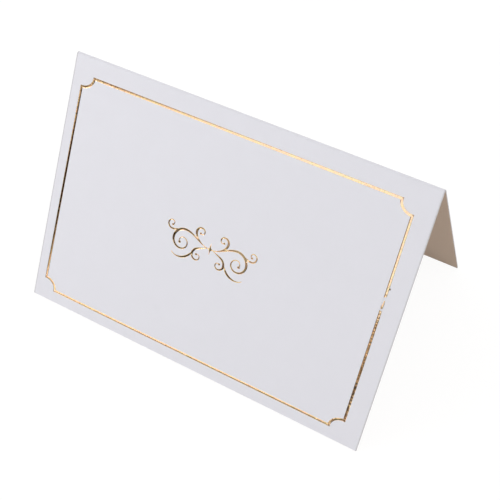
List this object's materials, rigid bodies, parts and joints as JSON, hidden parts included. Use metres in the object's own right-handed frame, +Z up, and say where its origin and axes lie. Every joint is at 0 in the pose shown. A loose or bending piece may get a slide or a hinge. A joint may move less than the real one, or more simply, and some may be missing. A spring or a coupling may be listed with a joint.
{
  "type": "greeting card",
  "caption": "Small folded greeting card of heavy white card, standing as a tent, with a gold foil border and a scroll ornament stamped on its front.",
  "frame": {"origin": "middle of the footprint, on the surface that the card stands on", "axes": "+X along the fold, to the right of someone who faces the stamped front; the front panel is on the -Y side; +Z up"},
  "size_m": [0.1, 0.068, 0.0614],
  "materials": {
    "white_card": "uncoated, matte, with a faint tooth; white with a slight cool cast",
    "gold_foil": "hot-stamped metallic foil, bright rose gold, with small speckles and a worn stretch"
  },
  "bodies": {
    "root": {"folded_card": "white_card", "foil_border": "gold_foil", "foil_chip": "gold_foil", "foil_flourish": "gold_foil"}
  },
  "joints": []
}
